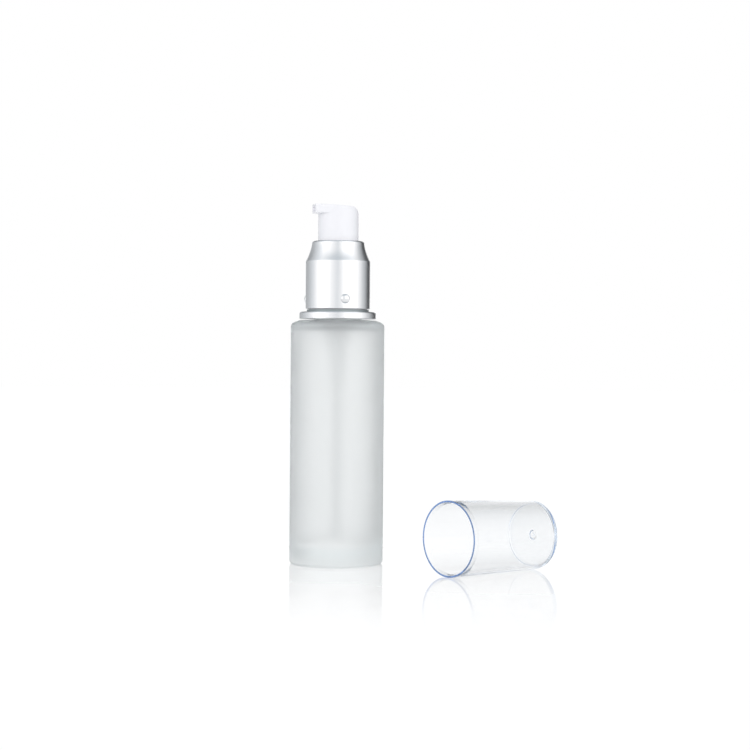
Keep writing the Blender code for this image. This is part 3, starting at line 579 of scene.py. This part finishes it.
bpy.ops.object.select_all(action="DESELECT")
bpy.ops.mesh.primitive_cube_add(size=1)
mouth = bpy.context.object
mouth.name = "nozzle_mouth"
mouth.scale = (2 * mouth_deep, mouth_width, mouth_tall)
bpy.ops.object.transform_apply(location=False, rotation=False, scale=True)
bpy.ops.object.mode_set(mode="EDIT")
bpy.ops.mesh.select_all(action="DESELECT")
bpy.ops.mesh.select_mode(type="EDGE")
mesh = bmesh.from_edit_mesh(mouth.data)
for edge in mesh.edges:
    edge.select_set(abs(edge.verts[0].co.x - edge.verts[1].co.x) > mouth_deep)
bmesh.update_edit_mesh(mouth.data)
bpy.ops.mesh.bevel(offset=mouth_corner, segments=mouth_corner_facets, affect="EDGES")
bpy.ops.object.mode_set(mode="OBJECT")
reach = Vector((math.cos(nozzle_azimuth), math.sin(nozzle_azimuth), 0)) * nozzle_reach
mouth.location = reach + Vector((0, 0, channel_height))
mouth.rotation_euler = (0, 0, nozzle_azimuth)
bpy.ops.object.transform_apply(location=True, rotation=True, scale=True)
join_on(head, mouth, "DIFFERENCE")

bpy.ops.object.select_all(action="DESELECT")
bpy.ops.mesh.primitive_cylinder_add(
    vertices=channel_facets, radius=channel_radius, depth=nozzle_reach,
    location=(reach.x / 2, reach.y / 2, channel_height), rotation=(0, math.pi / 2, nozzle_azimuth),
)
channel = bpy.context.object
channel.name = "outlet_channel"
bpy.ops.object.transform_apply(location=True, rotation=True, scale=True)
join_on(head, channel, "DIFFERENCE")
shade(head)
head.data.materials.clear()
head.data.materials.append(white_plastic)
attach(head, "head")
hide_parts("actuator_head")


# Overcap: clear styrene, injected through a gate in the middle of its end. The mouth is relieved to a
# thinner rim that snaps over the nubs. The plastic is blued, which shows only where light comes a long
# way through it. That blue is deepest in the lip, where it is painted onto the lip's faces as a
# painted blue shade.
cap_mouth_radius = 0.0136
cap_end_radius = 0.01254
cap_length = 0.0426
cap_wall = 0.0009
cap_rim_wall = 0.00065
cap_rim_depth = 0.0032
cap_rim_step = 0.0008
cap_end_wall = 0.0013
cap_edge_radius = 0.0008
cap_lip_round = 0.00018
gate_radius = 0.0021
gate_depth = 0.0005
gate_steps = 9
gate_stub_radius = 0.0007
gate_stub_height = 0.00025
cap_facets = 192
cap_mouth_x = 0.0052
cap_axis_y = -0.0566
cap_draft = math.atan2(cap_mouth_radius - cap_end_radius, cap_length)

cap_colour = (0.975, 0.978, 0.98)
# Painted shade: the lip's dark blue stands in for light that comes a long way through the rim.
painted_lip_shade = (0.075, 0.16, 0.42)
clear_plastic, tree, shader = new_finish(
    "clear_plastic", cap_colour, 0.02, Transmission_Weight=1.0, IOR=1.58
)
painted_lip_colour = blend(tree, marked(tree, "painted_lip"), (*cap_colour, 1), (*painted_lip_shade, 1), "RGBA")
tree.links.new(painted_lip_colour, shader.inputs["Base Color"])
tree.links.new(speckle(tree, 120, 0.01, 0.03), shader.inputs["Roughness"])
relief(tree, shader, speckle(tree, 60, 0, 1, detail=1.0), depth=0.000004)
tinted_through(tree, (0.30, 0.56, 0.86), density=11)


def cap_radius(height):
    """The overcap's outer radius at this height over its mouth; it narrows to leave the mould."""
    return cap_mouth_radius - height * math.tan(cap_draft)


gate_floor = cap_length - gate_depth
gate_stub_top = gate_floor + gate_stub_height
stub_foot = (gate_stub_radius * 1.5, gate_floor + gate_depth / 4)
outer_edge_start = cap_length - cap_edge_radius
outer_edge = (cap_radius(outer_edge_start) - cap_edge_radius, outer_edge_start)
lip_outside = (cap_mouth_radius - cap_lip_round, cap_lip_round)
lip_inside = (cap_mouth_radius - cap_rim_wall + cap_lip_round, cap_lip_round)
step_start = cap_rim_depth - cap_rim_step
inner_edge_start = cap_length - cap_end_wall - cap_edge_radius
inner_edge = (cap_radius(inner_edge_start) - cap_wall - cap_edge_radius, inner_edge_start)
# The gate's stub is flat on top and runs out with a round foot into the floor of the dimple.
outline = [(gate_stub_radius / 8, gate_stub_top), (gate_stub_radius / 2, gate_stub_top)]
outline += rounding(stub_foot, gate_stub_radius / 2, 180, 270, 4, tall=gate_depth / 4)
for step in range(1, gate_steps + 1):
    share = step / gate_steps
    bowl = gate_floor + gate_depth * (1 - math.cos(math.pi * share)) / 2
    outline.append((stub_foot[0] + (gate_radius - stub_foot[0]) * share, bowl))
outline += rounding(outer_edge, cap_edge_radius, 90, 0, 10)
outline += rounding(lip_outside, cap_lip_round, 0, -90, 5)
outline += rounding(lip_inside, cap_lip_round, -90, -180, 5)
outline += [(cap_radius(step_start) - cap_rim_wall, step_start)]
outline += [(cap_radius(cap_rim_depth) - cap_wall, cap_rim_depth)]
outline += rounding(inner_edge, cap_edge_radius, 0, 90, 10)
cap = turned_wall("overcap_clear", outline, cap_facets)
cap.data.materials.append(clear_plastic)
# The lip's faces are marked for that painted blue shade.
mark_faces(cap, "painted_lip", lambda face: face.center.z < cap_lip_round)
cap.rotation_euler = (0, math.pi / 2 + cap_draft, 0)
cap.location = (cap_mouth_x, cap_axis_y, cap_mouth_radius * math.cos(cap_draft))
bpy.ops.object.select_all(action="DESELECT")
cap.select_set(True)
bpy.ops.object.transform_apply(location=True, rotation=True, scale=True)
shade(cap)
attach(cap, "cap")
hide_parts("overcap")


# Return spring: stainless wire drawn and wound in six and a half turns, with closed coils at both ends.
# It stands on the perforated seat and pushes the plunger up. Its mesh is fixed and goes with the pump body;
# it is not squeezed as the head goes down.
spring_low, spring_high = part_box("return_spring")
wire_radius = 0.000275
wire_corners = 16
coil_radius = 0.0027
coil_turns = 6.5
closed_turns = 0.9
closed_gap = 0.00045
coil_steps = 312

stainless_steel, tree, shader = new_finish("bright_steel", (0.62, 0.62, 0.63), 0.22, Metallic=1.0)
tree.links.new(speckle(tree, 4000, 0.16, 0.30, stretch=(1, 1, 6)), shader.inputs["Roughness"])
relief(tree, shader, speckle(tree, 9000, 0, 1, stretch=(1, 1, 8), detail=1.0), depth=0.000001)

spring_height = spring_high.z - spring_low.z
closed_rise = (2 * wire_radius + closed_gap) * closed_turns
open_turns = coil_turns - 2 * closed_turns
open_rise = spring_height - 2 * wire_radius - 2 * closed_rise


def wire_section(turns):
    """The wire's round section after so many turns; turns lie closer at both ends of the spring."""
    low = min(turns, closed_turns) / closed_turns
    middle = min(max(turns - closed_turns, 0), open_turns) / open_turns
    high = max(turns - closed_turns - open_turns, 0) / closed_turns
    rise = spring_low.z + wire_radius + closed_rise * (low + high) + open_rise * middle
    turned = Matrix.Rotation(2 * math.pi * turns, 3, "Z")
    wire = rounding((coil_radius, rise), wire_radius, 0, 360 - 360 / wire_corners, wire_corners - 1)
    return [turned @ Vector((radius, 0, height)) for radius, height in wire]


spring = start_rings("return_spring_wire", wire_section(0))
for step in range(1, coil_steps + 1):
    next_ring(spring, wire_section(coil_turns * step / coil_steps))
settle(spring)
shade(spring)
spring.data.materials.append(stainless_steel)
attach(spring, "pump_body")
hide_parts("return_spring")
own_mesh(spring)


# Pump and closure: moulded polypropylene and polyethylene, a foam gasket and a polished stainless ball,
# all hidden in the collar and neck or seen only as a shade through the glass. They keep the packed
# model's meshes, each with the finish of what it is made of.
natural_plastic, tree, shader = new_finish("milky_polypropylene", (0.985, 0.988, 0.988), 0.26, IOR=1.49)
tree.links.new(speckle(tree, 700, 0.22, 0.30), shader.inputs["Roughness"])
relief(tree, shader, speckle(tree, 1800, 0, 1), depth=0.000004)
soft_plastic, tree, shader = new_finish(
    "waxy_polyethylene", (0.90, 0.90, 0.88), 0.55, Subsurface_Weight=0.3, Subsurface_Scale=0.001, IOR=1.51
)
tree.links.new(speckle(tree, 900, 0.48, 0.62), shader.inputs["Roughness"])
relief(tree, shader, speckle(tree, 2200, 0, 1), depth=0.000006)
gasket_foam, tree, shader = new_finish("closed_cell_foam", (0.88, 0.88, 0.86), 0.85)
relief(tree, shader, speckle(tree, 5000, 0, 1, detail=4.0), depth=0.00003)
polished_ball, tree, shader = new_finish("polished_steel", (0.64, 0.64, 0.65), 0.10, Metallic=1.0)
tree.links.new(speckle(tree, 3000, 0.07, 0.14), shader.inputs["Roughness"])
relief(tree, shader, speckle(tree, 6000, 0, 1, detail=1.0), depth=0.0000005)

inside_finishes = {
    "pump_housing": natural_plastic,
    "dip_tube": natural_plastic,
    "spring_seat": natural_plastic,
    "piston": soft_plastic,
    "neck_gasket": gasket_foam,
    "inlet_ball": polished_ball,
    "lock_ring": white_plastic,
    "stem": white_plastic,
    "piston_shaft": white_plastic,
    "screw_closure": white_plastic,
}
for node, finish in inside_finishes.items():
    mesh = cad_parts[node].data
    mesh.materials.clear()
    mesh.materials.append(finish)


# Table and studio: a white laminate top that mirrors the pieces near them and loses its polish further
# out, in a plain pale studio with a soft box at either hand of the camera and darker cards beyond them.
view_turn = math.radians(40)
across = Vector((math.cos(view_turn), -math.sin(view_turn), 0))
away = Vector((math.sin(view_turn), math.cos(view_turn), 0))
table_radius = 3.0
table_facets = 96
polish = 0.42
polish_near = 0.02
polish_far = 0.15
shadow_share = 0.2
through_share = 0.45


def combine(tree, operation, first, second):
    """What a Math node makes of two values, each of them an output or a constant."""
    node = tree.nodes.new("ShaderNodeMath")
    node.operation = operation
    feed(tree, first, node.inputs[0])
    feed(tree, second, node.inputs[1])
    return node.outputs[0]


def measured(tree, operation, place, other):
    """One number from two places or directions, such as their distance."""
    node = tree.nodes.new("ShaderNodeVectorMath")
    node.operation = operation
    tree.links.new(place, node.inputs[0])
    node.inputs[1].default_value = other
    return node.outputs["Value"]


def mixed_light(tree, share, first, second):
    """The first surface or light where the share is 0 and the second where it is 1."""
    mix = tree.nodes.new("ShaderNodeMixShader")
    for value, socket in zip((share, first, second), mix.inputs):
        tree.links.new(value, socket)
    return mix.outputs[0]


table_finish = bpy.data.materials.new("white_table")
table_finish.use_nodes = True
tree = table_finish.node_tree
tree.nodes.clear()
output = tree.nodes.new("ShaderNodeOutputMaterial")
matt = tree.nodes.new("ShaderNodeBsdfDiffuse")
matt.inputs["Color"].default_value = (0.86, 0.86, 0.865, 1)
lit = tree.nodes.new("ShaderNodeEmission")
lit.inputs["Color"].default_value = (1, 1, 1, 1)
lit.inputs["Strength"].default_value = 1.10
mirror = tree.nodes.new("ShaderNodeBsdfGlossy")
mirror.inputs["Color"].default_value = (1, 1, 1, 1)
mirror.inputs["Roughness"].default_value = 0.03
# The top shows white to the camera and in mirrors, and in part through glass, apart from a share that
# keeps the pieces' shadows.
rays = tree.nodes.new("ShaderNodeLightPath").outputs
seen = combine(tree, "MAXIMUM", rays["Is Camera Ray"], rays["Is Glossy Ray"])
seen_through = combine(tree, "MULTIPLY", rays["Is Transmission Ray"], through_share)
seen = combine(tree, "MAXIMUM", seen, seen_through)
share = combine(tree, "MULTIPLY", seen, 1 - shadow_share)
white = mixed_light(tree, share, matt.outputs[0], lit.outputs[0])
place = tree.nodes.new("ShaderNodeTexCoord").outputs["Object"]
nearness = []
for spot in ((0, 0, 0), (cap_mouth_x + cap_length / 2, cap_axis_y, 0)):
    distance = measured(tree, "DISTANCE", place, spot)
    nearness.append(spread_over(tree, distance, polish_near, polish_far, polish, 0.0, soft=True))
nearest = combine(tree, "MAXIMUM", *nearness)
top = mixed_light(tree, nearest, white, mirror.outputs[0])
tree.links.new(top, output.inputs["Surface"])

bpy.ops.object.select_all(action="DESELECT")
bpy.ops.mesh.primitive_circle_add(
    vertices=table_facets, radius=table_radius, fill_type="NGON", location=(0, 0, 0)
)
table = bpy.context.object
table.name = "table_top"
table.data.materials.append(table_finish)

# The studio's wall: bearings in degrees from the camera's side, to the right of the picture, and how
# bright the wall is there, first at eye level and then from where the white behind the table ends.
wall_levels = (
    (-180, 1.0), (-168, 1.0), (-158, 0.42), (-132, 0.50), (-116, 0.62), (-98, 0.82), (-84, 1.05),
    (-70, 1.45), (-38, 1.45), (-20, 1.05), (0, 0.82), (14, 1.05), (26, 1.45), (68, 1.45), (84, 1.0),
    (104, 0.60), (118, 0.36), (132, 0.08), (152, 0.06), (164, 1.0), (180, 1.0),
)
upper_levels = (
    (-180, 0.45), (-162, 0.20), (-146, 0.22), (-130, 0.44), (-116, 0.60), (-98, 0.78), (-84, 0.95),
    (-70, 1.20), (-38, 1.20), (-20, 1.0), (0, 0.82), (14, 1.05), (26, 1.40), (66, 1.40), (84, 1.0),
    (104, 0.60), (118, 0.38), (132, 0.10), (152, 0.12), (180, 0.45),
)
ceiling_colour = (0.36, 0.40, 0.43, 1)
upper_start, upper_full = 0.20, 0.42
ceiling_start, ceiling_full = 0.60, 0.88
brightest = 1.45
room_level = 1.12
cool_share = (0.965, 1.0, 1.03)
behind_full, behind_end = -0.94, -0.72
behind_rest = 0.25

studio = bpy.data.worlds.new("pale_studio")
bpy.context.scene.world = studio
studio.use_nodes = True
tree = studio.node_tree
tree.nodes.clear()
output = tree.nodes.new("ShaderNodeOutputWorld")
place = tree.nodes.new("ShaderNodeTexCoord").outputs["Generated"]
sideways = measured(tree, "DOT_PRODUCT", place, across)
frontways = measured(tree, "DOT_PRODUCT", place, -away)
bearing = combine(tree, "ARCTAN2", sideways, frontways)
turn = spread_over(tree, bearing, -math.pi, math.pi)
rings = []
for levels in (wall_levels, upper_levels):
    walls = tree.nodes.new("ShaderNodeValToRGB")
    walls.color_ramp.interpolation = "EASE"
    ramp = walls.color_ramp.elements
    while len(ramp) < len(levels):
        ramp.new(1.0)
    for element, (degrees, level) in zip(ramp, levels):
        element.position = (degrees + 180) / 360
        tints = cool_share if level < 1.0 else (1, 1, 1)
        element.color = (*(level / brightest * tint for tint in tints), 1)
    tree.links.new(turn, walls.inputs["Fac"])
    rings.append(walls.outputs["Color"])
eye_ring, upper_ring = rings
split = tree.nodes.new("ShaderNodeSeparateXYZ")
tree.links.new(place, split.inputs[0])
height = split.outputs["Z"]
into_upper = spread_over(tree, height, upper_start, upper_full, soft=True)
into_ceiling = spread_over(tree, height, ceiling_start, ceiling_full, soft=True)
room = blend(tree, into_upper, eye_ring, upper_ring, "RGBA")
room = blend(tree, into_ceiling, room, ceiling_colour, "RGBA")
room_light = tree.nodes.new("ShaderNodeBackground")
room_light.inputs["Strength"].default_value = brightest * room_level
tree.links.new(room, room_light.inputs["Color"])
backdrop = tree.nodes.new("ShaderNodeBackground")
backdrop.inputs["Color"].default_value = (1, 1, 1, 1)
backdrop.inputs["Strength"].default_value = 1.0
# The camera sees a white backdrop. Light through the glass sees it in full behind the bottle and in
# part elsewhere.
rays = tree.nodes.new("ShaderNodeLightPath").outputs
behind = spread_over(tree, frontways, behind_full, behind_end, 1.0, behind_rest, soft=True)
seen_through = combine(tree, "MULTIPLY", rays["Is Transmission Ray"], behind)
seen = combine(tree, "MAXIMUM", rays["Is Camera Ray"], seen_through)
light = mixed_light(tree, seen, room_light.outputs[0], backdrop.outputs[0])
tree.links.new(light, output.inputs["Surface"])

scene = bpy.context.scene
scene.view_settings.view_transform = "Standard"
scene.cycles.max_bounces = 72
scene.cycles.diffuse_bounces = 32
scene.cycles.glossy_bounces = 64
scene.cycles.transmission_bounces = 64


# Camera: low, 40 degrees round from the frame's front, with a long lens that is given in pixels of the
# square picture. It stands a little to the right of the bottle's axis, looks slightly down and is
# tilted by a trace, as in the photograph.
picture_pixels = 750
lens_pixels = 1750
pixels_down = 24
camera_side = 0.01413
camera_distance = 0.656
camera_height = 0.0797
camera_roll = math.radians(0.45)

eye = across * camera_side - away * camera_distance + Vector((0, 0, camera_height))
pitch = math.atan2(pixels_down, lens_pixels)
forward = away * math.cos(pitch) - Vector((0, 0, math.sin(pitch)))
level = forward.cross(Vector((0, 0, 1))).normalized()
upright = level.cross(forward)
right = level * math.cos(camera_roll) + upright * math.sin(camera_roll)
upward = upright * math.cos(camera_roll) - level * math.sin(camera_roll)
bpy.ops.object.camera_add()
camera = bpy.context.object
camera.name = "camera"
camera.data.sensor_width = 36
camera.data.lens = camera.data.sensor_width * lens_pixels / picture_pixels
camera.data.clip_start = 0.01
camera.matrix_world = Matrix.Translation(eye) @ Matrix((right, upward, -forward)).transposed().to_4x4()
scene.camera = camera
